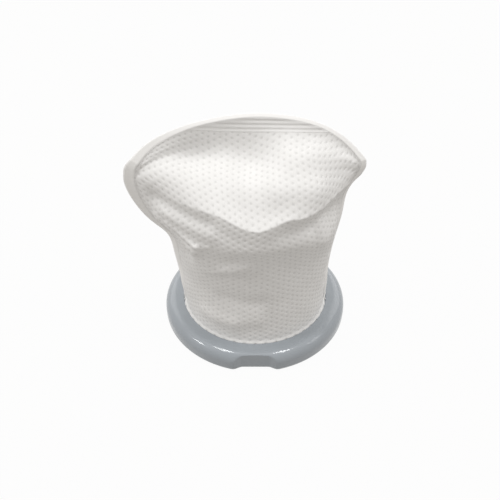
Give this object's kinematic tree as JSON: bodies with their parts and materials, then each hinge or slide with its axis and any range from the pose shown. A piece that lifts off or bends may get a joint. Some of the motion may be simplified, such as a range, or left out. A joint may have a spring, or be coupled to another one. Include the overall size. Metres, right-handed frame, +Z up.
{
  "type": "vacuum cleaner dust filter",
  "caption": "Dome-topped pouch of dimpled white nonwoven cloth, creased by a V-shaped fold, standing mouth down in a smooth blue-grey rim ring with a shallow flat notch.",
  "frame": {"origin": "under the middle of the part's box, on the plane of the ring's flat underside", "axes": "+Z up out of the ring along the pouch, +X to the right, with the ring's notch and the creased front panel towards -Y"},
  "size_m": [0.1204, 0.1084, 0.1399],
  "materials": {
    "rim": "smooth, semi-gloss, blue-grey",
    "cloth": "white nonwoven with embossed dimples, matt"
  },
  "bodies": {
    "root": {"rim_ring": "rim", "front_panel": "cloth", "back_panel": "cloth"}
  },
  "joints": []
}
